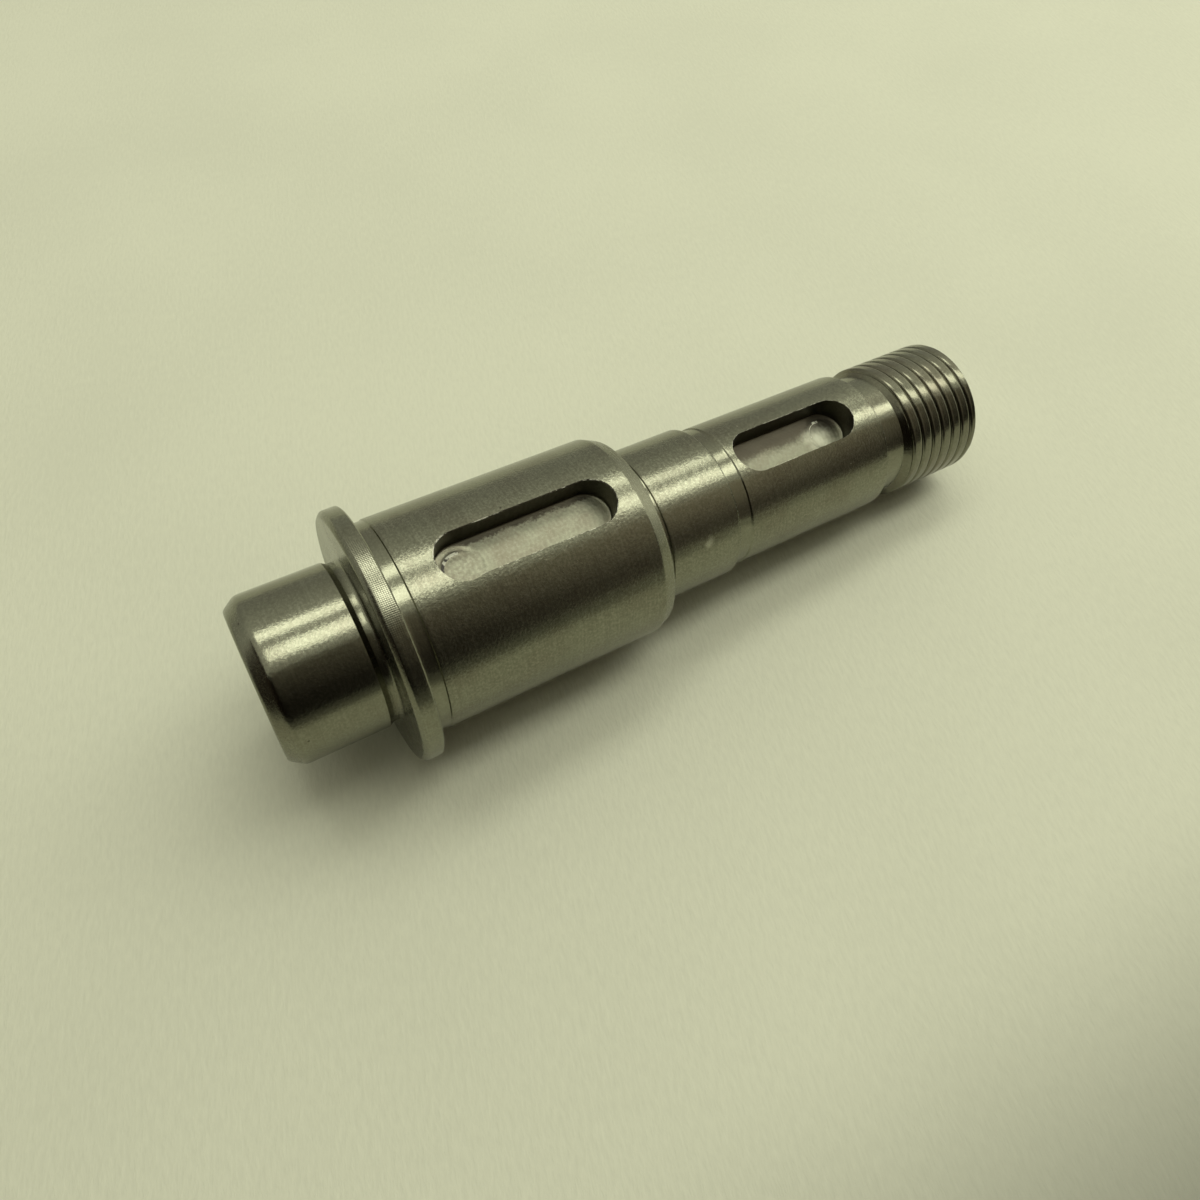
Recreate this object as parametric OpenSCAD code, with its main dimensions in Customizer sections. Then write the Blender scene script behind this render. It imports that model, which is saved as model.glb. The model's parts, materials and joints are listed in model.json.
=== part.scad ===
// Stepped transmission shaft, turned from one bar of steel.
// It stands on its journal's end face, with its axis along +Z and both keyways facing -Y.
// From the bottom: journal, collar, keyed gear seat, bearing seat, keyed end seat, neck, thread.

/* [Journal] */
// Diameter of the plain journal
journal_d = 17; // [14:0.5:20]
// Length from the end face to the collar
journal_len = 11; // [8:0.5:25]
// Radial depth of the lead-in chamfer at the end face
journal_cham = 1; // [0.3:0.1:1.5]
// Length of that chamfer along the axis
journal_cham_run = 1.4; // [0.5:0.1:2.5]
// Width of the undercut in front of the collar
journal_relief_w = 1.4; // [1:0.1:2.5]

/* [Collar] */
// Diameter of the collar
collar_d = 26; // [24:0.5:36]
// Thickness of the collar
collar_len = 2; // [1:0.1:6]
// Chamfer on the collar's rim, on the journal's side
collar_cham = 0.45; // [0.1:0.05:0.5]
// Broken edge on the collar's rim, on the gear's side
collar_break = 0.15; // [0.05:0.05:0.4]

/* [Gear seat] */
// Diameter of the seat that carries the gear
gear_d = 22; // [20:0.5:24]
// Length from the collar to the seat's shoulder
gear_len = 26.7; // [20:0.1:50]
// Width of the undercut behind the collar
gear_relief_w = 1.7; // [1:0.1:2.5]
// Radial depth of the chamfer at the shoulder
gear_cham = 0.6; // [0.2:0.1:1]
// Length of that chamfer along the axis
gear_cham_run = 1.4; // [0.5:0.1:2.5]

/* [Bearing seat] */
// Diameter of the seat for the second bearing
bearing_d = 17; // [16.5:0.1:20]
// Length from the gear seat's shoulder to the step
bearing_len = 9.7; // [6:0.1:20]
// Width of the undercut at the shoulder
bearing_relief_w = 1.3; // [1:0.1:2]
// Chamfer at the step
bearing_cham = 0.2; // [0.05:0.05:0.25]

/* [End seat] */
// Diameter of the keyed end seat
end_d = 16; // [15.5:0.1:16.4]
// Length from the step to the neck
end_len = 21.1; // [14:0.1:40]
// Width of the undercut at the step
end_relief_w = 1.9; // [1:0.1:2.5]
// Chamfer at the neck
end_cham = 0.3; // [0.1:0.05:0.4]

/* [Thread] */
// Diameter over the thread's crests, for a nominal 16 mm fine thread
thread_d = 15.7; // [15:0.05:16]
// Length from the end of the neck to the end face
thread_len = 11.6; // [8:0.1:25]
// Chamfer at the thread's free end
thread_cham = 1; // [0.5:0.1:2]
// Diameter of the neck in which the thread runs out
neck_d = 14.2; // [13:0.1:14.6]
// Length of the neck
neck_len = 2.9; // [2:0.1:6]
// Fillet at the bottom of the neck
neck_fillet = 0.5; // [0.1:0.05:0.6]

/* [Undercuts] */
// Depth of each undercut below its seat
relief_depth = 0.3; // [0.1:0.05:0.4]
// Fillet between an undercut and its shoulder
relief_fillet = 0.4; // [0.1:0.05:0.5]

/* [Keyways] */
// Width of both keyways
key_w = 5; // [3:0.5:6]
// Depth of both keyways below their seats
key_depth = 3; // [1.5:0.1:4]
// Distance from the collar to the gear seat's keyway
gear_key_lead = 4.9; // [3:0.1:8]
// Distance from that keyway to the shoulder
gear_key_tail = 3.3; // [2:0.1:8]
// Distance from the step to the end seat's keyway
end_key_lead = 2.6; // [2:0.1:5]
// Distance from that keyway to the neck
end_key_tail = 3; // [1:0.1:5]
// Diameter of the cutter's plunge mark in each keyway's floor
plunge_d = 4.2; // [2:0.1:4.8]
// Depth of that mark
plunge_depth = 0.15; // [0.05:0.01:0.3]

/* [Centre holes] */
// Mouth diameter of the 60 degree centre hole in each end face
centre_mouth_d = 5.3; // [4:0.1:8]
// Diameter of its pilot hole
centre_pilot_d = 2.5; // [1.5:0.1:3]
// Length of the pilot below the countersink
centre_pilot_len = 3; // [1:0.5:6]

/* [Hidden] */
$fn = 96;
steel = [0.58, 0.58, 0.53];
// How far a cutter reaches past the face it opens, and a fillet into the metal behind it
overshoot = 1;
bite = 0.1;
centre_half_angle = 30;

journal_r = journal_d / 2;
collar_r = collar_d / 2;
gear_r = gear_d / 2;
bearing_r = bearing_d / 2;
end_r = end_d / 2;
neck_r = neck_d / 2;
thread_r = thread_d / 2;

// Heights of the shoulders above the journal's end face
collar_z = journal_len;
gear_z = collar_z + collar_len;
shoulder_z = gear_z + gear_len;
step_z = shoulder_z + bearing_len;
neck_z = step_z + end_len;
thread_z = neck_z + neck_len;
top_z = thread_z + thread_len;

// Outer radius of each shoulder that an undercut's fillet runs up to
shoulder_r = gear_r - gear_cham;
step_r = bearing_r - bearing_cham;
neck_shoulder_r = end_r - end_cham;

// An undercut from its shoulder to the seat beside it, which lies above (way 1) or below (way -1)
function undercut(seat_r, at_z, width, way) = [
    [seat_r - relief_depth, at_z],
    [seat_r - relief_depth, at_z + way * (width - relief_depth)],
    [seat_r, at_z + way * width]
];

function backwards(points) = [for (i = [len(points) - 1:-1:0]) points[i]];

// Half section of the turned bar, as radius and height, from the bottom face to the top face
half_section = concat(
    [[0, 0], [journal_r - journal_cham, 0], [journal_r, journal_cham_run]],
    backwards(undercut(journal_r, collar_z, journal_relief_w, -1)),
    [[collar_r - collar_cham, collar_z], [collar_r, collar_z + collar_cham]],
    [[collar_r, gear_z - collar_break], [collar_r - collar_break, gear_z]],
    undercut(gear_r, gear_z, gear_relief_w, 1),
    [[gear_r, shoulder_z - gear_cham_run], [shoulder_r, shoulder_z]],
    undercut(bearing_r, shoulder_z, bearing_relief_w, 1),
    [[bearing_r, step_z - bearing_cham], [step_r, step_z]],
    undercut(end_r, step_z, end_relief_w, 1),
    [[end_r, neck_z - end_cham], [neck_shoulder_r, neck_z]],
    [[neck_r, neck_z], [neck_r, thread_z], [thread_r, thread_z + thread_r - neck_r]],
    [[thread_r, top_z - thread_cham], [thread_r - thread_cham, top_z], [0, top_z]]
);

// Concave fillet in the corner between a floor of radius floor_r and a shoulder at at_z.
// The open side lies above the shoulder (way 1) or below it (way -1).
module corner_fillet(floor_r, at_z, wall_r, radius, way) {
    r = min(radius, wall_r - floor_r);
    translate([floor_r, at_z])
        difference() {
            translate([-bite, way > 0 ? -bite : -r]) square([r + bite, r + bite]);
            translate([r, way * r]) circle(r);
        }
}

// The revolved surface starts and ends at -Y, inside the keyways, so that each seat is unbroken elsewhere
module turned_bar() {
    rotate([0, 0, -90]) rotate_extrude() {
        polygon(half_section);
        corner_fillet(journal_r - relief_depth, collar_z, collar_r - collar_cham, relief_fillet, -1);
        corner_fillet(gear_r - relief_depth, gear_z, collar_r - collar_break, relief_fillet, 1);
        corner_fillet(bearing_r - relief_depth, shoulder_z, shoulder_r, relief_fillet, 1);
        corner_fillet(end_r - relief_depth, step_z, step_r, relief_fillet, 1);
        corner_fillet(neck_r, neck_z, neck_shoulder_r, neck_fillet, 1);
    }
}

// Round-ended slot on the -Y side, from low_z to high_z, with the cutter's plunge mark round mark_z
module keyway(seat_r, low_z, high_z, mark_z) {
    floor_y = -(seat_r - key_depth);
    depth = key_depth + overshoot;
    translate([-key_w / 2, floor_y - depth, low_z + key_w / 2]) cube([key_w, depth, high_z - low_z - key_w]);
    for (z = [low_z + key_w / 2, high_z - key_w / 2])
        translate([0, floor_y, z]) rotate([90, 0, 0]) cylinder(d = key_w, h = depth);
    translate([0, floor_y + plunge_depth, mark_z]) rotate([90, 0, 0]) cylinder(d = plunge_d, h = depth);
}

module gear_keyway() {
    low_z = gear_z + gear_key_lead;
    keyway(gear_r, low_z, shoulder_z - gear_key_tail, low_z + key_w / 2);
}

module end_keyway() {
    high_z = neck_z - end_key_tail;
    keyway(end_r, step_z + end_key_lead, high_z, high_z - key_w / 2);
}

// Countersunk centre hole that opens at z = 0 and runs up into the metal
module centre_hole() {
    sink = (centre_mouth_d - centre_pilot_d) / 2 / tan(centre_half_angle);
    extra_r = overshoot * tan(centre_half_angle);
    translate([0, 0, -overshoot])
        cylinder(r1 = centre_mouth_d / 2 + extra_r, r2 = centre_pilot_d / 2, h = sink + overshoot);
    translate([0, 0, sink - bite]) cylinder(d = centre_pilot_d, h = centre_pilot_len + bite);
}

module shaft() {
    color(steel)
        difference() {
            turned_bar();
            gear_keyway();
            end_keyway();
            centre_hole();
            translate([0, 0, top_z]) rotate([180, 0, 0]) centre_hole();
        }
}

shaft();
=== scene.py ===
# Looks of a turned and milled steel shaft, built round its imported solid.
# Lengths are written in millimetres and multiplied by MM where a mesh, lamp or camera needs metres.
import json
import math

import bmesh
import bpy
from mathutils import Matrix, Vector, noise


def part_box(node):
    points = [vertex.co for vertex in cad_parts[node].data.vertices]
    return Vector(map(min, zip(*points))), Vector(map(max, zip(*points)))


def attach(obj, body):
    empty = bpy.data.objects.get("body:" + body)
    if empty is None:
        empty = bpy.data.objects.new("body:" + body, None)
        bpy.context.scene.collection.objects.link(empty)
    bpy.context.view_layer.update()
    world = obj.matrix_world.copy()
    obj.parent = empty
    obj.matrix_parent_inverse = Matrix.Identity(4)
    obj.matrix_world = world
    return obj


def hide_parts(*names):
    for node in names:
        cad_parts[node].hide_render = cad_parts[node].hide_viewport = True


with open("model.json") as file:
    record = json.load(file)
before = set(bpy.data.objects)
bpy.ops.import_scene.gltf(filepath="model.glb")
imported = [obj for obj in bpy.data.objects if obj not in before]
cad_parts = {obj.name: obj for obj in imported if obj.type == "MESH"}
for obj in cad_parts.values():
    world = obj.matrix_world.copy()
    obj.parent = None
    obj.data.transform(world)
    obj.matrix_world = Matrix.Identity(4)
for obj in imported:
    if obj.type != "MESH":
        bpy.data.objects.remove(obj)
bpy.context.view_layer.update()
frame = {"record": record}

MM = 0.001
NODE = "shaft"
BODY = "root"
MOUNTS = {mount["name"]: mount for mount in frame["record"]["mounts"]}


def seat_radius(name):
    return MOUNTS[name]["dims"]["r_mm"]


def face_height(name):
    return MOUNTS[name]["pos_m"][2] / MM


# Radii and shoulder heights of the turned steps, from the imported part
FAR_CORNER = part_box(NODE)[1]
TOP_Z = FAR_CORNER.z / MM
COLLAR_R = FAR_CORNER.x / MM
JOURNAL_R = seat_radius("journal")
GEAR_R = seat_radius("gear_seat")
BEARING_R = seat_radius("bearing_seat")
END_R = seat_radius("end_seat")
CREST_R = seat_radius("thread")
COLLAR_Z = face_height("collar_journal_face")
GEAR_Z = face_height("collar_gear_face")
SHOULDER_Z = face_height("bearing_shoulder")

# Lengths of the steps past that shoulder, and the heights that they give
BEARING_LENGTH, END_LENGTH, NECK_LENGTH = 9.7, 21.1, 2.9
STEP_Z = SHOULDER_Z + BEARING_LENGTH
NECK_Z = STEP_Z + END_LENGTH
THREAD_Z = NECK_Z + NECK_LENGTH

# Sizes of the chamfers, undercuts, neck and centre holes
LEAD_DEPTH, LEAD_RUN = 1.0, 1.4
SHOULDER_DEPTH, SHOULDER_RUN = 0.6, 1.4
COLLAR_CHAMFER, COLLAR_BREAK = 0.45, 0.15
STEP_CHAMFER, END_CHAMFER, TIP_CHAMFER = 0.2, 0.3, 1.0
JOURNAL_RELIEF_DEPTH, RELIEF_DEPTH, RELIEF_FILLET = 0.3, 0.12, 0.4
JOURNAL_RELIEF, GEAR_RELIEF, BEARING_RELIEF, END_RELIEF = 1.4, 1.7, 1.3, 1.9
NECK_R, NECK_FILLET = 7.1, 0.5
MOUTH_R, PILOT_R, PILOT_LENGTH = 2.65, 1.25, 3.0
SINK = (MOUTH_R - PILOT_R) / math.tan(math.radians(30))
JOURNAL_RAMP = 0.5

# Roundings of the edges, and how far they are worn in and chipped
MOUTH_ROUND, FINE_ROUND, RAMP_ROUND, COLLAR_ROUND = 0.07, 0.04, 0.1, 0.3
LEAD_ROUNDS, SHOULDER_ROUNDS, RELIEF_ROUNDS = (0.6, 1.0), (0.3, 0.15), (0.05, 0.03)
WEAR_DEPTH, CHIP_DEPTH, CHIP_START = 0.004, 0.03, 0.4

# Keyways, facing -Y: each one's first and last height, hollow of the floor, and raggedness of the edge
KEY_W = 5.0
KEY_DEPTH = 3.0
GEAR_KEY = (GEAR_Z + 4.9, SHOULDER_Z - 3.3)
END_KEY = (STEP_Z + 2.6, NECK_Z - 3.0)
GEAR_HOLLOW, GEAR_RAGGED = 0.02, 0.8
END_HOLLOW, END_RAGGED = 0.07, 0.35
FLOOR_CORNER, FLOOR_WAVE = 0.18, 0.012
EDGE_BREAK, EDGE_WAVE, EDGE_TOOTH = 0.09, 0.06, 0.25
# How far a cutter stands out of its seat
OVERSHOOT = 2.0

# Plunge marks: each one's place across and along, its radius, and the height of its cutter
GEAR_PLUNGE = (0.2, GEAR_KEY[0] + KEY_W / 2, 2.5, KEY_DEPTH + OVERSHOOT)
END_PLUNGE = (0.0, END_KEY[1] - KEY_W / 2, 2.3, 0.4)
PLUNGE_DEPTH, PLUNGE_RIDGE = 0.10, 0.035
# Rings of a mark as shares of its radius, closer together at its ridge and its rim
PLUNGE_RINGS = (0.0, 0.2, 0.4, 0.52, 0.58, 0.62, 0.66, 0.70, 0.74, 0.78, 0.82, 0.88, 0.93, 0.97, 1.0)
RIDGE_SHARE, RIDGE_REACH = 0.7, 0.1
# The curl on the ridge, which carries a painted glint: its middle and half its length in degrees, and the
# rings that the painted glint covers
CURL_ANGLE, CURL_SPAN, CURL_RINGS = 215, 50, (5, 6, 7)

# Thread, whose crests are flatter with a higher power, and where its helix starts as a share of a turn
PITCH = 1.5
THREAD_DEPTH = 0.42
CREST_POWER = 7.0
THREAD_TWIST = -1 / 3

# Fineness of the mesh, how close points at a seam are merged, and the angle past which an edge is sharp
ROWS_PER_TURN = 18
COLUMNS = 192
SEAM = 0.002
SHARP_DEGREES = 32


class Socket:
    """An output socket of a node tree, so that node maths reads as Python."""

    def __init__(self, tree, socket=None):
        self.tree = tree
        self.socket = socket

    def add(self, kind, settings=None, inputs=None, output=0):
        """Adds a node of any kind to the tree and returns one of its outputs, if it has any."""
        node = self.tree.nodes.new(kind)
        for name, value in (settings or {}).items():
            if name == "stops":
                set_stops(node.color_ramp, value)
            else:
                setattr(node, name, value)
        for name, value in (inputs or {}).items():
            if isinstance(value, Socket):
                self.tree.links.new(value.socket, node.inputs[name])
            else:
                node.inputs[name].default_value = value
        return Socket(self.tree, node.outputs[output] if node.outputs else None)

    def beside(self, output):
        """Another output of the same node."""
        return Socket(self.tree, self.socket.node.outputs[output])

    def math(self, operation, *values):
        return self.add("ShaderNodeMath", {"operation": operation}, dict(enumerate(values)))

    def __add__(self, other):
        return self.math("ADD", self, other)

    def __radd__(self, other):
        return self.math("ADD", other, self)

    def __sub__(self, other):
        return self.math("SUBTRACT", self, other)

    def __rsub__(self, other):
        return self.math("SUBTRACT", other, self)

    def __mul__(self, other):
        return self.math("MULTIPLY", self, other)

    def __rmul__(self, other):
        return self.math("MULTIPLY", other, self)

    def __truediv__(self, other):
        return self.math("DIVIDE", self, other)

    def __rtruediv__(self, other):
        return self.math("DIVIDE", other, self)

    def __abs__(self):
        return self.math("ABSOLUTE", self)

    def clamped(self, low=0.0, high=1.0):
        return self.add("ShaderNodeClamp", {}, {"Value": self, "Min": low, "Max": high})

    def between(self, low, high):
        """0 at low and before it, 1 at high and past it, smooth between. Low may be the larger one."""
        settings = {"interpolation_type": "SMOOTHSTEP"}
        return self.add("ShaderNodeMapRange", settings, {"Value": self, "From Min": low, "From Max": high})


def set_stops(ramp, stops):
    while len(ramp.elements) < len(stops):
        ramp.elements.new(1.0)
    for element, (place, color) in zip(ramp.elements, stops):
        element.position = place
        element.color = color


# Steel finishes

class Finish:
    """A procedural material, with the places and patterns that the steel finishes share."""

    def __init__(self, name):
        self.material = bpy.data.materials.new(name)
        self.material.use_nodes = True
        self.tree = self.material.node_tree
        self.tree.nodes.clear()
        self.root = Socket(self.tree)
        self.place = self.root.add("ShaderNodeTexCoord", output="Object")
        parts = self.root.add("ShaderNodeSeparateXYZ", {}, {"Vector": self.place})
        self.x = parts * (1 / MM)
        self.y = parts.beside("Y") * (1 / MM)
        self.z = parts.beside("Z") * (1 / MM)

    def vector(self, x, y, z):
        return self.root.add("ShaderNodeCombineXYZ", {}, {"X": x, "Y": y, "Z": z})

    def noise(self, place, detail=2.0, rough=0.5):
        inputs = {"Vector": place, "Scale": 1.0, "Detail": detail, "Roughness": rough}
        return self.root.add("ShaderNodeTexNoise", {}, inputs)

    def grain(self, across, along, detail=2.0, rough=0.5):
        """Noise from 0 to 1, with waves per millimetre across and along the axis."""
        return self.noise(self.vector(self.x * across, self.y * across, self.z * along), detail, rough)

    def turn(self):
        """Degrees round the axis from the line of the keyways, positive towards +X."""
        return self.root.math("ARCTAN2", self.x, 0 - self.y) * math.degrees(1)

    def pits(self, per_mm, radius, share):
        """Round specks on a share of random cells."""
        place = self.vector(self.x * per_mm, self.y * per_mm, self.z * per_mm)
        cells = self.root.add("ShaderNodeTexVoronoi", {}, {"Vector": place, "Scale": 1.0}, output="Distance")
        pick = self.root.add("ShaderNodeSeparateColor", {}, {"Color": cells.beside("Color")})
        size = radius * per_mm
        return (1 - cells.between(size * 0.5, size * 1.2)) * pick.between(1 - share, 1 - share + 0.05)

    def spot(self, aside, along, reach):
        """1 in the middle of a ragged patch, given the distances from it, fading to 0 at its edge."""
        ragged = (self.grain(1.0, 1.0) - 0.5) * 1.6
        return (self.root.math("SQRT", aside * aside + along * along) + ragged).between(reach, 0.0)

    def mix(self, share, first, second):
        settings = {"data_type": "RGBA"}
        return self.root.add("ShaderNodeMix", settings, {"Factor": share, 6: first, 7: second}, output=2)

    def finish(self, color, roughness, height, bump, anisotropic=0.0, metallic=1.0):
        """Closes the tree with a metal shader and returns the material."""
        relief = {"Strength": 1.0, "Distance": bump * MM, "Height": height}
        normal = self.root.add("ShaderNodeBump", {}, relief)
        inputs = {"Base Color": color, "Metallic": metallic, "Roughness": roughness, "Normal": normal}
        inputs |= {"Anisotropic": anisotropic, "Anisotropic Rotation": 0.25}
        shader = self.root.add("ShaderNodeBsdfPrincipled", {}, inputs)
        self.root.add("ShaderNodeOutputMaterial", {}, {"Surface": shader})
        return self.material


STEEL = (0.225, 0.226, 0.174, 1.0)
DULL = (0.185, 0.183, 0.14, 1.0)
STAIN = (0.165, 0.145, 0.112, 1.0)
PIT = (0.06, 0.05, 0.04, 1.0)
BRIGHT = (0.45, 0.45, 0.37, 1.0)
# Near-white and not metallic: painted glints on the broken keyway edges and on the plunge ridge's curl
PAINTED_GLINT_WHITE = (0.93, 0.93, 0.80, 1.0)
# Turning marks run round the axis, so the gloss spreads along it
TURNED = 0.4
# A scuff on the bearing seat: degrees from the keyways' line, and height
SCUFF_TURN, SCUFF_Z = 51.5, 45.2
# Height of a bright patch on the end keyway's floor: partly fresh bright metal, partly a painted highlight
END_BRIGHT_METAL_AND_HIGHLIGHT_Z = END_KEY[1] - 3.2
# Diamond marks that a chuck left on the collar's rim: their pitch, how many jaws, and the first jaw's degrees
HATCH_PITCH, JAWS, JAW_TURN = 0.36, 3, 6
# Pitch of the end mill's arcs on a keyway's floor
MILL_PITCH = 0.5


def speckled(steel, tone, grit, strength):
    """Darkens a tone in the hollows of the grit and brightens it on its tops."""
    tone = steel.mix(grit.between(0.5, 0.34) * strength, tone, PIT)
    return steel.mix(grit.between(0.5, 0.66) * strength, tone, BRIGHT)


def worn_steel(
    name, roughness, sparkle, stain=0.4, specks=0.22, pitted=0.3, base=STEEL, hatched=False, scuffed=False
):
    """Steel with turning lines, a speckled sparkle, pits and brown stains."""
    steel = Finish(name)
    lines = steel.grain(0.04, 5.0, 3.0, 0.7)
    grit = steel.grain(3.6, 4.2, 2.0, 0.7)
    mottle = steel.grain(0.22, 0.18, 3.0, 0.55).between(0.40, 0.75)
    pits = steel.pits(0.36, 0.13, pitted)
    tone = steel.mix(mottle * stain, base, STAIN)
    tone = speckled(steel, tone, grit + (lines - 0.5) * 0.4, specks)
    tone = steel.mix(pits * 0.85, tone, PIT)
    rough = roughness + (grit - 0.5) * 0.10 + (lines - 0.5) * 0.06 + mottle * 0.03
    height = grit + lines * 0.15
    if hatched:
        hatch = rim_hatch(steel)
        tone = steel.mix(hatch.between(0.0, -0.5) * 0.35, tone, PIT)
        tone = steel.mix(hatch.between(0.0, 0.5) * 0.4, tone, BRIGHT)
        height = height + hatch * 0.4
    if scuffed:
        aside = (steel.turn() - SCUFF_TURN) * (math.radians(1) * BEARING_R)
        tone = steel.mix(steel.spot(aside, steel.z - SCUFF_Z, 0.9), tone, BRIGHT)
    return steel.finish(tone, rough.clamped(0.06, 1.0), height, sparkle, TURNED)


def rim_hatch(steel):
    """Fine diamond marks in ragged patches, one for each jaw, from -1 to 1."""
    turn = steel.turn()
    around = turn * (math.radians(1) * COLLAR_R)
    waves = math.tau / HATCH_PITCH
    rising, falling = (steel.root.math("SINE", way * waves) for way in (around + steel.z, around - steel.z))
    ragged = (steel.grain(0.3, 0.3) - 0.5) * 2
    patches = steel.root.math("COSINE", (turn - JAW_TURN) * math.radians(JAWS)) + ragged
    return rising * falling * patches.between(0.0, 0.8)


def milled_steel(name, roughness, sparkle, specks, stain, painted_wall_shade=None, bright_metal_and_highlight=None, base=STEEL):
    """Steel with the arcs that an end mill leaves along a keyway.

    Painted wall shade is its share, and how far it reaches and how far it is full from the wall on the -X
    side: a painted shade that darkens the floor towards the foot of that wall.
    Bright metal and highlight is the height of a bright ragged patch, partly fresh metal and partly a painted
    highlight.
    """
    steel = Finish(name)
    grit = steel.grain(3.0, 3.0, 2.0, 0.7)
    cloud = steel.grain(0.6, 0.45, 3.0, 0.6)
    half = KEY_W / 2
    bulge = steel.root.math("SQRT", (half ** 2 - steel.x * steel.x).clamped(0.0, half ** 2))
    arcs = steel.root.math("SINE", (steel.z - bulge + cloud * 0.6) * (math.tau / MILL_PITCH))
    tone = steel.mix(cloud.between(0.35, 0.7) * stain, base, STAIN)
    tone = speckled(steel, tone, grit + arcs * 0.05, specks)
    if painted_wall_shade:
        share, reach, full = painted_wall_shade
        # Painted shade: the floor darkens raggedly towards the foot of the wall on the -X side
        foot = steel.x + half + (cloud - 0.5) * 1.6 + (grit - 0.5)
        tone = steel.mix(foot.between(reach, full) * share, tone, PIT)
    if bright_metal_and_highlight:
        # A bright ragged patch: partly fresh bright metal, partly a painted highlight
        tone = steel.mix(steel.spot(steel.x - 0.3, (steel.z - bright_metal_and_highlight) * 0.8, 2.1) * 0.9, tone, BRIGHT)
    rough = roughness + (grit - 0.5) * 0.15
    return steel.finish(tone, rough.clamped(0.1, 1.0), grit + arcs * 0.15, sparkle)


def painted_glints_and_dirt_steel(name):
    """A broken edge, where painted glints of near-white and dark dirt take turns."""
    steel = Finish(name)
    grit = steel.grain(2.5, 2.5, 2.0)
    stretch = steel.grain(0.35, 0.35, 1.0)
    # Painted glints alternate with dark dirt along the edge
    tone = steel.mix((grit + stretch).between(0.95, 1.15), PIT, PAINTED_GLINT_WHITE)
    return steel.finish(tone, 0.5, grit, 0.03, metallic=0.0)


FINISHES = {
    "journal": worn_steel("ground_journal", roughness=0.18, sparkle=0.011, stain=0.25, specks=0.15),
    "seat": worn_steel("turned_seat", roughness=0.22, sparkle=0.016, scuffed=True),
    "face": worn_steel("turned_face", roughness=0.26, sparkle=0.006, specks=0.10),
    "undercut": worn_steel("undercut", roughness=0.18, sparkle=0.008, specks=0.12),
    "rim": worn_steel(
        "collar_rim", roughness=0.22, sparkle=0.009, stain=0.2, specks=0.2, pitted=0.6, hatched=True
    ),
    # The keyway floors and the end plunge mark carry painted shade towards the -X wall
    "gear_floor": milled_steel(
        "gear_keyway_floor", roughness=0.38, sparkle=0.008, specks=0.14, stain=0.6, painted_wall_shade=(0.8, 0.8, 0.4)
    ),
    # The end floor and the end plunge mark share a bright patch that is partly a painted highlight
    "end_floor": milled_steel(
        "end_keyway_floor", roughness=0.38, sparkle=0.006, specks=0.08, stain=0.4,
        painted_wall_shade=(0.85, 2.9, 1.5), bright_metal_and_highlight=END_BRIGHT_METAL_AND_HIGHLIGHT_Z
    ),
    # The walls take the darker DULL base: painted shade inside the keyways
    "wall": milled_steel(
        "keyway_wall", roughness=0.36, sparkle=0.008, specks=0.15, stain=0.5, base=DULL
    ),
    "gear_plunge": milled_steel(
        "gear_plunge_mark", roughness=0.36, sparkle=0.010, specks=0.22, stain=0.6
    ),
    "end_plunge": milled_steel(
        "end_plunge_mark", roughness=0.42, sparkle=0.010, specks=0.2, stain=0.3,
        painted_wall_shade=(0.85, 3.1, 1.7), bright_metal_and_highlight=END_BRIGHT_METAL_AND_HIGHLIGHT_Z
    ),
    "burr": painted_glints_and_dirt_steel("burred_edge"),
    "thread": worn_steel(
        "cut_thread", roughness=0.20, sparkle=0.008, stain=0.6, specks=0.12, pitted=0.0, base=DULL
    ),
}
FINISH_NAMES = list(FINISHES)


# Turned body

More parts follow.
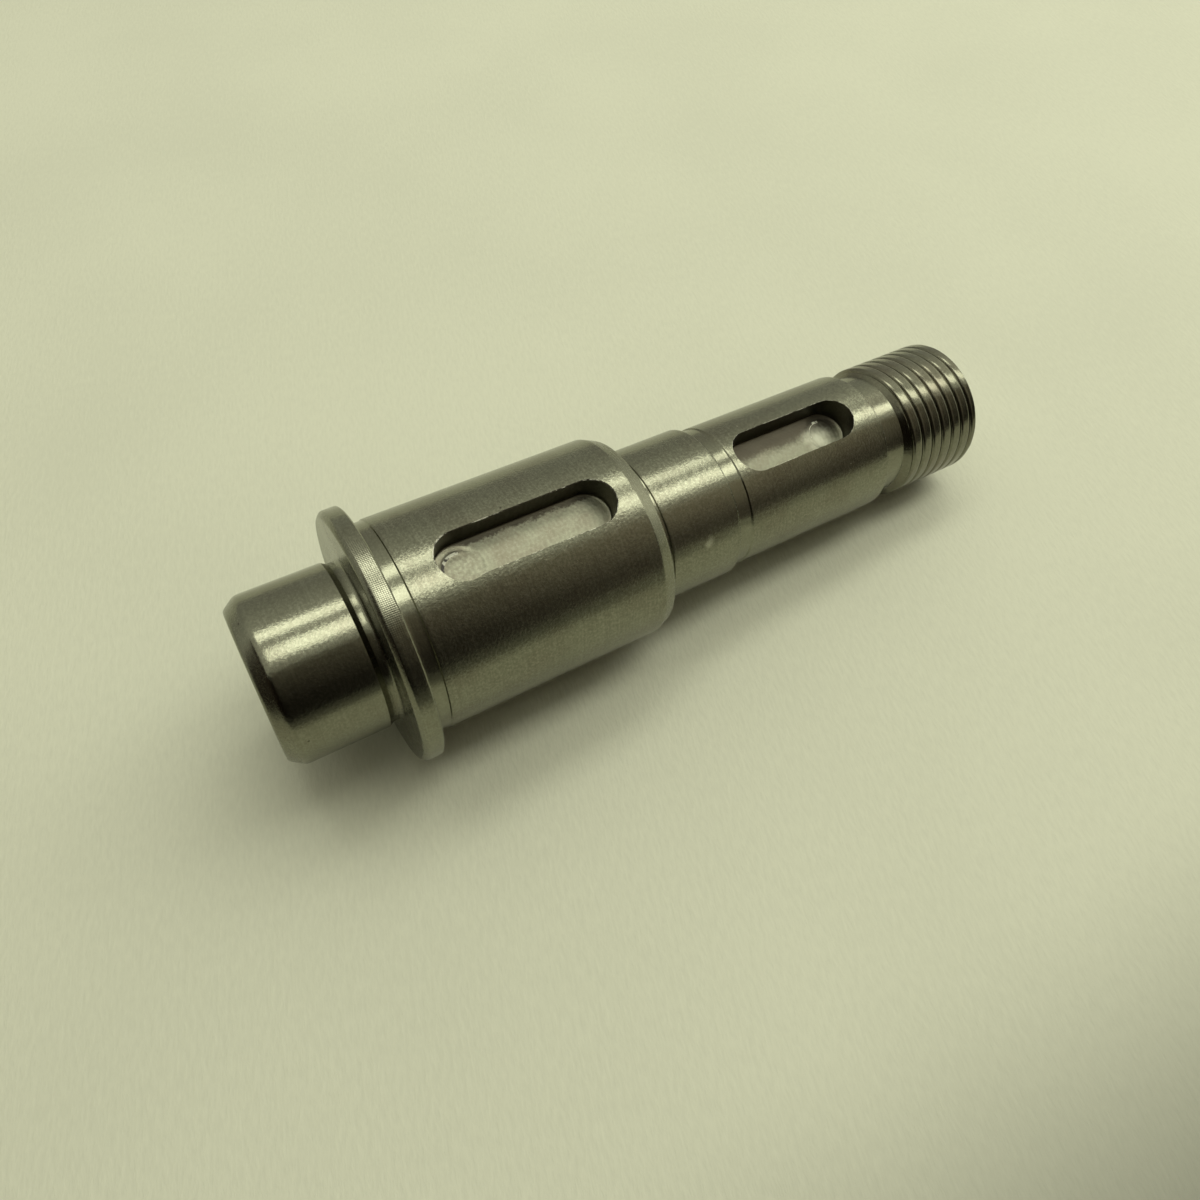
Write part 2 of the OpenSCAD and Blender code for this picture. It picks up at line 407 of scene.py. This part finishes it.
def lower_corners():
    """Corners of the half section from the lower centre hole up to the thread.

    Each has a radius, a height, a rounding and the finish of the stretch that follows.
    """
    journal_floor = JOURNAL_R - JOURNAL_RELIEF_DEPTH
    gear_floor = GEAR_R - RELIEF_DEPTH
    bearing_floor = BEARING_R - RELIEF_DEPTH
    end_floor = END_R - RELIEF_DEPTH
    pilot_end = SINK + PILOT_LENGTH
    return [
        (0, pilot_end, 0, "face"),
        (PILOT_R, pilot_end, 0, "face"),
        (PILOT_R, SINK, 0, "face"),
        (MOUTH_R, 0, MOUTH_ROUND, "face"),
        (JOURNAL_R - LEAD_DEPTH, 0, LEAD_ROUNDS[0], "face"),
        (JOURNAL_R, LEAD_RUN, LEAD_ROUNDS[1], "journal"),
        (JOURNAL_R, COLLAR_Z - JOURNAL_RELIEF, RAMP_ROUND, "undercut"),
        (journal_floor, COLLAR_Z - JOURNAL_RELIEF + JOURNAL_RAMP, RAMP_ROUND, "undercut"),
        (journal_floor, COLLAR_Z, RELIEF_FILLET, "face"),
        (COLLAR_R - COLLAR_CHAMFER, COLLAR_Z, COLLAR_ROUND, "face"),
        (COLLAR_R, COLLAR_Z + COLLAR_CHAMFER, COLLAR_ROUND, "rim"),
        (COLLAR_R, GEAR_Z - COLLAR_BREAK, FINE_ROUND, "rim"),
        (COLLAR_R - COLLAR_BREAK, GEAR_Z, FINE_ROUND, "face"),
        (gear_floor, GEAR_Z, RELIEF_FILLET, "undercut"),
        (gear_floor, GEAR_Z + GEAR_RELIEF - RELIEF_DEPTH, RELIEF_ROUNDS[0], "undercut"),
        (GEAR_R, GEAR_Z + GEAR_RELIEF, RELIEF_ROUNDS[1], "seat"),
        (GEAR_R, SHOULDER_Z - SHOULDER_RUN, SHOULDER_ROUNDS[0], "face"),
        (GEAR_R - SHOULDER_DEPTH, SHOULDER_Z, SHOULDER_ROUNDS[1], "face"),
        (bearing_floor, SHOULDER_Z, RELIEF_FILLET / 2, "undercut"),
        (bearing_floor, SHOULDER_Z + BEARING_RELIEF - RELIEF_DEPTH, RELIEF_ROUNDS[0], "undercut"),
        (BEARING_R, SHOULDER_Z + BEARING_RELIEF, RELIEF_ROUNDS[1], "seat"),
        (BEARING_R, STEP_Z - STEP_CHAMFER, FINE_ROUND, "face"),
        (BEARING_R - STEP_CHAMFER, STEP_Z, FINE_ROUND, "face"),
        (end_floor, STEP_Z, RELIEF_FILLET, "undercut"),
        (end_floor, STEP_Z + END_RELIEF - RELIEF_DEPTH, RELIEF_ROUNDS[0], "undercut"),
        (END_R, STEP_Z + END_RELIEF, RELIEF_ROUNDS[1], "seat"),
        (END_R, NECK_Z - END_CHAMFER, FINE_ROUND, "face"),
        (END_R - END_CHAMFER, NECK_Z, FINE_ROUND, "face"),
        (NECK_R, NECK_Z, NECK_FILLET, "undercut"),
        (NECK_R, THREAD_Z, 0, "undercut"),
    ]


def upper_corners():
    """Corners of the half section from the thread's end chamfer to the upper centre hole."""
    pilot_end = TOP_Z - SINK - PILOT_LENGTH
    return [
        (CREST_R - TIP_CHAMFER, TOP_Z, 0, "face"),
        (MOUTH_R, TOP_Z, MOUTH_ROUND, "face"),
        (PILOT_R, TOP_Z - SINK, 0, "face"),
        (PILOT_R, pilot_end, 0, "face"),
        (0, pilot_end, 0, "face"),
    ]


def rounded(corners, arc_step=math.radians(25)):
    """Turns corners into profile points: place, finish of the stretch that follows, and wear of an edge."""
    points = []
    for index, (radius, height, rounding, finish) in enumerate(corners):
        corner = Vector((radius, height))
        if rounding == 0 or index in (0, len(corners) - 1):
            points.append((corner, finish, 0.0))
            continue
        before = Vector(corners[index - 1][:2]) - corner
        after = Vector(corners[index + 1][:2]) - corner
        turn = math.pi - before.angle(after)
        reach = min(rounding * math.tan(turn / 2), 0.45 * before.length, 0.45 * after.length)
        start = corner + before.normalized() * reach
        end = corner + after.normalized() * reach
        convex = before.x * after.y - before.y * after.x < 0
        steps = max(2, math.ceil(turn / arc_step))
        for step in range(steps + 1):
            share = step / steps
            point = (1 - share) ** 2 * start + 2 * share * (1 - share) * corner + share ** 2 * end
            points.append((point, finish, 1.0 if convex else 0.0))
    return points


def resampled(points, margin=0.25, spacing=1.5):
    """Adds points near the ends of each long stretch, and evenly between them."""
    result = []
    for (point, finish, wear), (after, _, _) in zip(points, points[1:]):
        result.append((point, finish, wear))
        run = after - point
        if run.length > 3 * margin:
            steps = math.ceil((run.length - 2 * margin) / spacing)
            for step in range(steps + 1):
                reach = margin + (run.length - 2 * margin) * step / steps
                result.append((point + run.normalized() * reach, finish, 0.0))
    return result + [points[-1]]


def edge_wear(x, y, z):
    """How far an edge has been worn in at a place, in millimetres."""
    wave = noise.noise(Vector((x, y, z)) * 0.8)
    chip = noise.noise(Vector((x, y, z + 40)) * 2.5)
    return WEAR_DEPTH * (1 + wave) + CHIP_DEPTH * max(0.0, chip - CHIP_START)


def revolve(points):
    """Vertices, faces and finish numbers of a profile turned round the axis, with poles on the axis."""
    vertices, faces, finishes, rings = [], [], [], []
    for point, _, wear in points:
        first = len(vertices)
        if point.x < 1e-6:
            vertices.append((0, 0, point.y * MM))
            rings.append([first] * COLUMNS)
            continue
        for column in range(COLUMNS):
            angle = math.tau * column / COLUMNS
            way_x, way_y = math.cos(angle), math.sin(angle)
            radius = point.x
            if wear:
                radius -= wear * edge_wear(radius * way_x, radius * way_y, point.y)
            vertices.append((radius * way_x * MM, radius * way_y * MM, point.y * MM))
        rings.append(list(range(first, first + COLUMNS)))
    for low, high, (_, finish, _) in zip(rings, rings[1:], points):
        for column in range(COLUMNS):
            beside = (column + 1) % COLUMNS
            corners = [low[column], low[beside], high[beside], high[column]]
            faces.append(list(dict.fromkeys(corners)))
            finishes.append(FINISH_NAMES.index(finish))
    return vertices, faces, finishes


def mesh_object(name, vertices, faces, finishes=None, materials=FINISHES.values()):
    mesh = bpy.data.meshes.new(name)
    mesh.from_pydata(vertices, [], faces)
    for material in materials:
        mesh.materials.append(material)
    if finishes is not None:
        mesh.polygons.foreach_set("material_index", finishes)
    mesh.update()
    piece = bpy.data.objects.new(name, mesh)
    bpy.context.scene.collection.objects.link(piece)
    return piece


def baked(piece):
    """Replaces a piece's mesh by its evaluated one and removes its modifiers."""
    bpy.context.view_layer.update()
    shape = piece.evaluated_get(bpy.context.evaluated_depsgraph_get())
    mesh = bpy.data.meshes.new_from_object(shape)
    piece.modifiers.clear()
    piece.data = mesh
    return piece


# Thread

def thread_tree():
    """Geometry nodes for a right-hand thread: a sheet wound round the axis, whose rows follow the helix."""
    tree = bpy.data.node_groups.new("cut_thread", "GeometryNodeTree")
    interface = tree.interface
    interface.new_socket("Geometry", in_out="OUTPUT", socket_type="NodeSocketGeometry")
    lengths = ("Pitch", "Neck Radius", "Root Radius", "Crest Radius", "Start", "End", "Tip Chamfer")
    for name in (*lengths, "Turns", "Twist"):
        interface.new_socket(name, in_out="INPUT", socket_type="NodeSocketFloat")
    for name in ("Columns", "Rows"):
        interface.new_socket(name, in_out="INPUT", socket_type="NodeSocketInt")
    interface.new_socket("Finish", in_out="INPUT", socket_type="NodeSocketMaterial")
    root = Socket(tree)
    first = root.add("NodeGroupInput")
    given = {socket.name: Socket(tree, socket) for socket in first.socket.node.outputs}

    sizes = {"Size X": 1.0, "Size Y": 1.0, "Vertices X": given["Columns"] + 1, "Vertices Y": given["Rows"]}
    sheet = root.add("GeometryNodeMeshGrid", {}, sizes)
    spot = root.add("GeometryNodeInputPosition")
    parts = root.add("ShaderNodeSeparateXYZ", {}, {"Vector": spot})
    around = parts + 0.5
    winding = (parts.beside("Y") + 0.5) * given["Turns"]
    lift = given["Pitch"] * (winding + around + given["Twist"] - 1)
    height = (given["Start"] + lift).clamped(given["Start"], given["End"])

    # A broad crest that rounds over into a narrow root
    from_crest = abs(root.math("FRACT", winding) - 0.5) * 2
    fall = root.math("POWER", from_crest, CREST_POWER)
    cut = given["Crest Radius"] - (given["Crest Radius"] - given["Root Radius"]) * fall
    run_in = given["Neck Radius"] + height - given["Start"]
    tip = given["Crest Radius"] + given["End"] - given["Tip Chamfer"] - height
    radius = root.math("MINIMUM", root.math("MINIMUM", cut, run_in), tip)

    angle = around * math.tau
    wound = {"X": radius * root.math("COSINE", angle), "Y": radius * root.math("SINE", angle), "Z": height}
    place = root.add("ShaderNodeCombineXYZ", {}, wound)
    shape = root.add("GeometryNodeSetPosition", {}, {"Geometry": sheet, "Position": place})
    shape = root.add("GeometryNodeMergeByDistance", {}, {"Geometry": shape, "Distance": 0.001 * MM})
    shape = root.add("GeometryNodeRealizeInstances", {}, {"Geometry": shape})
    shape = root.add("GeometryNodeSetMaterial", {}, {"Geometry": shape, "Material": given["Finish"]})
    root.add("NodeGroupOutput", {}, {"Geometry": shape})
    return tree


def cut_thread():
    turns = math.ceil((TOP_Z - THREAD_Z) / PITCH) + 2
    piece = mesh_object("thread", [], [])
    modifier = piece.modifiers.new("thread", "NODES")
    modifier.node_group = thread_tree()
    sizes = {
        "Pitch": PITCH * MM,
        "Neck Radius": NECK_R * MM,
        "Root Radius": (CREST_R - THREAD_DEPTH) * MM,
        "Crest Radius": CREST_R * MM,
        "Start": THREAD_Z * MM,
        "End": TOP_Z * MM,
        "Tip Chamfer": TIP_CHAMFER * MM,
        "Turns": float(turns),
        "Twist": THREAD_TWIST,
        "Columns": COLUMNS,
        "Rows": turns * ROWS_PER_TURN + 1,
        "Finish": FINISHES["thread"],
    }
    for item in modifier.node_group.interface.items_tree:
        if item.in_out == "INPUT":
            modifier[item.identifier] = sizes[item.name]
    return baked(piece)


# Keyways and marks

def slot_outline(low, high, half_width):
    """Points and outward directions round a round-ended slot, as x and z in millimetres."""
    arc_steps, side_steps = 28, 72
    middle_low, middle_high = low + half_width, high - half_width
    outline = []
    for centre, first in ((middle_high, 0.0), (middle_low, math.pi)):
        for step in range(arc_steps + 1):
            angle = first + math.pi * step / arc_steps
            way = Vector((math.cos(angle), math.sin(angle)))
            outline.append((Vector((0, centre)) + way * half_width, way))
        side = 1 if first else -1
        start, end = (middle_high, middle_low) if side < 0 else (middle_low, middle_high)
        for step in range(1, side_steps):
            height = start + (end - start) * step / side_steps
            outline.append((Vector((side * half_width, height)), Vector((side, 0))))
    return outline


def slot_edge(point, seat_r):
    """How far a keyway's edge is broken at a place, in millimetres: more where it is ragged."""
    wave = noise.noise(Vector((point.x * 0.5, seat_r, point.y * 0.6)))
    tooth = noise.noise(Vector((point.x, seat_r + 20, point.y * 3.5)))
    return EDGE_BREAK + EDGE_WAVE * abs(wave) + EDGE_TOOTH * max(0.0, wave) * abs(tooth)


def slot_floor(spot, hollow):
    """How far a keyway's floor lies below its own level at a place: hollow along its middle, and uneven."""
    broad = noise.noise(Vector((spot.x * 0.6, 0.0, spot.y * 0.6)))
    small = noise.noise(Vector((spot.x, 7.0, spot.y)))
    return hollow * max(0.0, 1 - (2 * spot.x / KEY_W) ** 2) + FLOOR_WAVE * (broad + 0.5 * small + 1)


def slot_cutter(name, seat_r, ends, hollow, ragged, finish):
    """A solid of the keyway's form, with a rounded floor edge and a ragged broken edge at the seat."""
    floor = seat_r - KEY_DEPTH
    floor_steps, corner_steps = 8, 3
    outline = slot_outline(*ends, KEY_W / 2)
    broken = [ragged * slot_edge(point, seat_r) for point, _ in outline]
    seat = [math.sqrt(seat_r ** 2 - point.x ** 2) for point, _ in outline]

    # Rings from the middle of the floor up: offset and height of each point, and finish of what follows
    rings = []
    for step in range(floor_steps):
        offset = -KEY_W / 2 + (KEY_W / 2 - FLOOR_CORNER) * step / floor_steps
        heights = [floor - slot_floor(point + way * offset, hollow) for point, way in outline]
        rings.append(([(offset, height) for height in heights], finish))
    for step in range(corner_steps + 1):
        angle = math.pi / 2 * step / corner_steps
        ring = (FLOOR_CORNER * (math.sin(angle) - 1), floor + FLOOR_CORNER * (1 - math.cos(angle)))
        rings.append(([ring] * len(outline), finish if step < corner_steps else "wall"))
    # The broken edge's rings carry painted glints between dark dirt
    rings.append(([(0.0, height - cut_in) for height, cut_in in zip(seat, broken)], "burr"))
    rings.append(([(2 * cut_in, height + cut_in) for height, cut_in in zip(seat, broken)], "burr"))
    rings.append(([(2 * cut_in, seat_r + OVERSHOOT) for cut_in in broken], "burr"))

    vertices, faces, finishes = [], [], []
    count = len(outline)
    for ring, _ in rings:
        for (point, way), (offset, height) in zip(outline, ring):
            spot = point + way * offset
            vertices.append((spot.x * MM, -height * MM, spot.y * MM))
    for level, (_, look) in enumerate(rings[:-1]):
        for index in range(count):
            beside = (index + 1) % count
            base, above = level * count, (level + 1) * count
            faces.append([base + index, base + beside, above + beside, above + index])
            finishes.append(FINISH_NAMES.index(look))
    faces.append([(len(rings) - 1) * count + index for index in range(count)])
    finishes.append(FINISH_NAMES.index("burr"))
    return outward(mesh_object(name, vertices, faces, finishes))


def plunge_cutter(name, floor, mark, finish):
    """A shallow dish that the end mill left where it was plunged in, as a round solid that stands on -Y."""
    aside, mark_z, radius, height = mark
    steps = 72
    angles = [math.tau * step / steps for step in range(steps)]
    curl = math.radians(CURL_ANGLE)
    vertices, faces, finishes = [], [], []

    def add_vertex(x, level, z):
        vertices.append((x * MM, -level * MM, z * MM))

    for share in PLUNGE_RINGS:
        on_ridge = max(0.0, 1 - (abs(share - RIDGE_SHARE) / RIDGE_REACH) ** 2)
        for angle in angles:
            x, z = aside + radius * share * math.cos(angle), mark_z + radius * share * math.sin(angle)
            ridge = PLUNGE_RIDGE * max(0.0, math.cos(angle - curl)) * on_ridge
            uneven = FLOOR_WAVE * noise.noise(Vector((x * 0.9, 3.0, z * 0.9)))
            add_vertex(x, floor - PLUNGE_DEPTH * (1 - share ** 8) + ridge + uneven, z)
    for reach in (radius, 0.0):
        for angle in angles:
            add_vertex(aside + reach * math.cos(angle), floor + height, mark_z + reach * math.sin(angle))
    for level in range(len(PLUNGE_RINGS) + 1):
        for step, angle in enumerate(angles):
            beside = (step + 1) % steps
            base, above = level * steps, (level + 1) * steps
            faces.append([base + step, base + beside, above + beside, above + step])
            # A painted glint lies on the ridge's curl
            if level in CURL_RINGS and abs(angle - curl) < math.radians(CURL_SPAN):
                look = "burr"
            else:
                look = finish if level < len(PLUNGE_RINGS) - 1 else "wall"
            finishes.append(FINISH_NAMES.index(look))
    return outward(mesh_object(name, vertices, faces, finishes))


def outward(piece):
    """Merges doubles and turns every face of a closed mesh outwards."""
    shape = bmesh.new()
    shape.from_mesh(piece.data)
    bmesh.ops.remove_doubles(shape, verts=shape.verts, dist=1e-7)
    bmesh.ops.recalc_face_normals(shape, faces=shape.faces)
    shape.to_mesh(piece.data)
    shape.free()
    return piece


def cut(piece, cutters):
    for cutter in cutters:
        modifier = piece.modifiers.new(cutter.name, "BOOLEAN")
        modifier.operation = "DIFFERENCE"
        modifier.solver = "EXACT"
        modifier.object = cutter
        baked(piece)
        bpy.data.objects.remove(cutter)
    return piece


def make_shaft():
    lower = revolve(resampled(rounded(lower_corners())))
    upper = revolve(resampled(rounded(upper_corners())))
    thread = cut_thread()
    shape = bmesh.new()
    for name, (vertices, faces, finishes) in (("lower", lower), ("upper", upper)):
        part = mesh_object(name, vertices, faces, finishes)
        shape.from_mesh(part.data)
        bpy.data.objects.remove(part)
    count = len(shape.faces)
    shape.from_mesh(thread.data)
    shape.faces.ensure_lookup_table()
    for face in shape.faces[count:]:
        face.material_index = FINISH_NAMES.index("thread")
    bpy.data.objects.remove(thread)
    bmesh.ops.remove_doubles(shape, verts=shape.verts, dist=SEAM * MM)
    piece = mesh_object("shaft_body", [], [])
    shape.to_mesh(piece.data)
    shape.free()
    cut(piece, [
        slot_cutter("gear_slot", GEAR_R, GEAR_KEY, GEAR_HOLLOW, GEAR_RAGGED, "gear_floor"),
        plunge_cutter("gear_plunge", GEAR_R - KEY_DEPTH, GEAR_PLUNGE, "gear_plunge"),
        slot_cutter("end_slot", END_R, END_KEY, END_HOLLOW, END_RAGGED, "end_floor"),
        plunge_cutter("end_plunge", END_R - KEY_DEPTH, END_PLUNGE, "end_plunge"),
    ])
    piece.data.shade_smooth()
    piece.data.set_sharp_from_angle(angle=math.radians(SHARP_DEGREES))
    weighted = piece.modifiers.new("weighted", "WEIGHTED_NORMAL")
    weighted.keep_sharp = True
    return baked(piece)


shaft = make_shaft()
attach(shaft, BODY)
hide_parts(NODE)


# Stage: the shaft lies on a pale board, on its collar and on the end of its thread

BOARD_NORMAL = Vector((-0.235, -0.969, -0.072)).normalized()
ALONG = (Vector((0, 0, 1)) - BOARD_NORMAL * BOARD_NORMAL.z).normalized()
NEAR = ALONG.cross(BOARD_NORMAL)
MIDDLE = Vector((0, 0, TOP_Z / 2))
BOARD_COLORS = (0.648, 0.654, 0.543, 1.0), (0.702, 0.708, 0.588, 1.0)
BOARD_HALF, BOARD_BUMP = 1500, 0.06
# The board's streaks: how far they slant along the shaft, and waves per millimetre along and across them
STREAK_SLANT, STREAK_WAVES = 0.33, (0.7, 2.2)
# Towards the near side a painted shadow darkens the board, from the picture's lower right corner on. That
# shows as a reflection low on the journal.
PAINTED_SHADOW_NEAR, PAINTED_SHADOW_ALONG, PAINTED_SHADOW_SHARE = (48, 90), (170, 50), 0.85
PAINTED_SHADOW_COLOR = (0.1, 0.1, 0.083, 1.0)


def around_shaft(degrees):
    """The direction from the shaft at an angle from the board's normal, positive towards the near side."""
    angle = math.radians(degrees)
    return BOARD_NORMAL * math.cos(angle) + NEAR * math.sin(angle)


def make_board():
    lowest = min(
        Vector((radius * math.cos(a), radius * math.sin(a), height)).dot(BOARD_NORMAL)
        for radius, height in ((COLLAR_R, GEAR_Z - COLLAR_BREAK), (CREST_R, TOP_Z - TIP_CHAMFER))
        for a in (math.radians(d) for d in range(360))
    )
    middle = MIDDLE + BOARD_NORMAL * (lowest - MIDDLE.dot(BOARD_NORMAL))
    signs = ((-1, -1), (1, -1), (1, 1), (-1, 1))
    vertices = [(middle + (ALONG * x - NEAR * y) * BOARD_HALF) * MM for x, y in signs]
    board = mesh_object("board", vertices, [[0, 1, 2, 3]], materials=[board_material()])


def board_material():
    """Pale leathery board. It is clear from behind, so that the shaft can be seen from every side."""
    board = Finish("board")
    root = board.root
    streak = (NEAR - ALONG * STREAK_SLANT).normalized()
    dot = {"operation": "DOT_PRODUCT"}
    run, across, along, near = (
        root.add("ShaderNodeVectorMath", dot, {0: board.place, 1: way}, output="Value") * (1 / MM)
        for way in (streak, streak.cross(BOARD_NORMAL), ALONG, NEAR)
    )
    grain = board.noise(board.vector(run * STREAK_WAVES[0], across * STREAK_WAVES[1], 0.0), 3.0, 0.6)
    cloud = board.noise(board.vector(run * 0.03, across * 0.03, 4.0), 2.0)
    tone = board.mix((grain * 0.6 + cloud * 0.4).between(0.3, 0.7), *BOARD_COLORS)
    # Painted shadow on the board's near side
    painted_shadow = near.between(*PAINTED_SHADOW_NEAR) * along.between(*PAINTED_SHADOW_ALONG)
    tone = board.mix(painted_shadow * PAINTED_SHADOW_SHARE, tone, PAINTED_SHADOW_COLOR)
    bump = root.add("ShaderNodeBump", {}, {"Strength": 1.0, "Distance": BOARD_BUMP * MM, "Height": grain})
    inputs = {"Base Color": tone, "Roughness": 0.6, "Normal": bump}
    face = root.add("ShaderNodeBsdfPrincipled", {}, inputs)
    clear = root.add("ShaderNodeBsdfTransparent")
    behind = root.add("ShaderNodeNewGeometry", output="Backfacing")
    shader = root.add("ShaderNodeMixShader", {}, {0: behind, 1: face, 2: clear})
    root.add("ShaderNodeOutputMaterial", {}, {"Surface": shader})
    return board.material


make_board()


# Light: two long lamps over the shaft, a pale room, and a dark card that stands behind the camera

LAMP_COLOR = (0.985, 1.0, 0.83)
LAMP_DISTANCE = 700


def add_lamp(name, degrees, start, end, width, power):
    """A long lamp that runs beside the axis, from start to end past the middle of the shaft."""
    data = bpy.data.lights.new(name, "AREA")
    data.shape = "RECTANGLE"
    data.size, data.size_y = width * MM, (end - start) * MM
    data.energy = power
    data.color = LAMP_COLOR
    lamp = bpy.data.objects.new(name, data)
    bpy.context.scene.collection.objects.link(lamp)
    way = around_shaft(degrees)
    place = MIDDLE + way * LAMP_DISTANCE + ALONG * (start + end) / 2
    axes = Matrix((ALONG.cross(way), ALONG, way)).transposed().to_4x4()
    lamp.matrix_world = Matrix.Translation(place * MM) @ axes
    lamp.visible_camera = False


add_lamp("far_lamp", degrees=-20.5, start=-150, end=550, width=150, power=1.05)
add_lamp("near_lamp", degrees=6.0, start=-30, end=1000, width=195, power=2.18)

# Brightness of the room by angle from the board's normal, positive towards the near side.
# It doubles towards the thread's end of the axis, between these shares of the way there.
ROOM_TINT = (1.0, 1.0, 0.79)
ROOM_END = (0.6, 1.0)
ROOM = (
    (-180, 0.62), (-100, 0.62), (-90, 0.38), (-65, 0.45), (-48, 0.58), (-32, 0.7),
    (10, 0.7), (35, 0.5), (60, 0.35), (90, 0.35), (100, 0.62), (180, 0.62),
)


def make_world():
    world = bpy.data.worlds.new("room")
    bpy.context.scene.world = world
    world.use_nodes = True
    world.node_tree.nodes.clear()
    root = Socket(world.node_tree)
    way = root.add("ShaderNodeTexCoord", output="Generated")
    dot = {"operation": "DOT_PRODUCT"}
    up = root.add("ShaderNodeVectorMath", dot, {0: way, 1: BOARD_NORMAL}, output="Value")
    aside = root.add("ShaderNodeVectorMath", dot, {0: way, 1: NEAR}, output="Value")
    share = root.math("ARCTAN2", aside, up) / math.tau + 0.5
    stops = [(degrees / 360 + 0.5, [tint * bright for tint in ROOM_TINT] + [1.0]) for degrees, bright in ROOM]
    color = root.add("ShaderNodeValToRGB", {"stops": stops}, {"Fac": share})
    ahead = root.add("ShaderNodeVectorMath", dot, {0: way, 1: ALONG}, output="Value")
    strength = 1 + ahead.between(*ROOM_END)
    room = root.add("ShaderNodeBackground", {}, {"Color": color, "Strength": strength})
    root.add("ShaderNodeOutputWorld", {}, {"Surface": room})


make_world()

# The dark card curves round the near side, from its first angle to its last, and closes past the journal
CARD_ANGLES = (26, 100)
CARD_END_ANGLES = (-35, 100)
CARD_RADIUS, CARD_START, CARD_END = 450, -400, 900
# Heights along the axis between which its tones change
CARD_FADE = (0, 280)
CARD_LAST_FADE = (430, 480)
CARD_END_FADE = (-150, -320)
# Share of the way round, tone beside the journal and past the thread, tone between
CARD_TONES = ((0.0, 0.36, 1.0), (0.35, 0.14, 0.6), (0.6, 0.05, 0.27), (1.0, 0.05, 0.27))
CARD_TINT = (0.98, 0.87, 0.86)
CARD_END_TONE = (0.05, 0.035, 0.03, 1.0)


def make_card():
    steps = 24
    first, last = CARD_ANGLES
    end_first, end_last = CARD_END_ANGLES
    vertices, faces = [], []
    for step in range(steps + 1):
        way = around_shaft(first + (last - first) * step / steps)
        for reach in (CARD_START, CARD_END):
            vertices.append((MIDDLE + way * CARD_RADIUS + ALONG * reach) * MM)
    for step in range(steps):
        faces.append([2 * step, 2 * step + 1, 2 * step + 3, 2 * step + 2])
    first_end = len(vertices)
    for step in range(steps + 1):
        way = around_shaft(end_first + (end_last - end_first) * step / steps)
        vertices.append((MIDDLE + way * CARD_RADIUS + ALONG * CARD_START) * MM)
    vertices.append((MIDDLE + ALONG * CARD_START) * MM)
    for step in range(steps):
        faces.append([first_end + step, first_end + step + 1, len(vertices) - 1])
    card = mesh_object("dark_card", vertices, faces, materials=[card_material()])
    card.visible_camera = False


def card_material():
    """Brown card, darkest low down beside the journal."""
    card = Finish("dark_card")
    first, last = (math.degrees(math.atan2(way.x, -way.y)) for way in map(around_shaft, CARD_ANGLES))
    share = (card.turn() - first) / (last - first)
    ends = []
    for column in (1, 2):
        stops = [(row[0], [row[column] * tint for tint in CARD_TINT] + [1.0]) for row in CARD_TONES]
        ends.append(card.root.add("ShaderNodeValToRGB", {"stops": stops}, {"Fac": share}))
    beside_seats = card.z.between(*CARD_FADE) * (1 - card.z.between(*CARD_LAST_FADE))
    color = card.mix(beside_seats, *ends)
    color = card.mix(card.z.between(*CARD_END_FADE), color, CARD_END_TONE)
    shader = card.root.add("ShaderNodeBsdfDiffuse", {}, {"Color": color})
    card.root.add("ShaderNodeOutputMaterial", {}, {"Surface": shader})
    return card.material


make_card()


# Camera, at the photograph's viewing angle

CAMERA_AZIMUTH = -69.0
CAMERA_RADIUS, CAMERA_HEIGHT = 90.56, 1.07
CAMERA_AIM = Vector((5.67, 0.45, 34.0))
CAMERA_ROLL = 66.15
SENSOR, FOCAL_PIXELS, FRAME_PIXELS = 36.0, 915.0, 1200.0


def make_camera():
    data = bpy.data.cameras.new("camera")
    data.sensor_width = SENSOR
    data.lens = SENSOR * FOCAL_PIXELS / FRAME_PIXELS
    data.clip_start, data.clip_end = 1 * MM, 10.0
    camera = bpy.data.objects.new("camera", data)
    bpy.context.scene.collection.objects.link(camera)
    azimuth = math.radians(CAMERA_AZIMUTH)
    place = Vector((CAMERA_RADIUS * math.cos(azimuth), CAMERA_RADIUS * math.sin(azimuth), CAMERA_HEIGHT))
    look = (CAMERA_AIM - place).to_track_quat("-Z", "Y").to_matrix().to_4x4()
    roll = Matrix.Rotation(math.radians(CAMERA_ROLL), 4, "Z")
    camera.matrix_world = Matrix.Translation(place * MM) @ look @ roll
    bpy.context.scene.camera = camera


make_camera()
bpy.context.scene.view_settings.view_transform = "Standard"
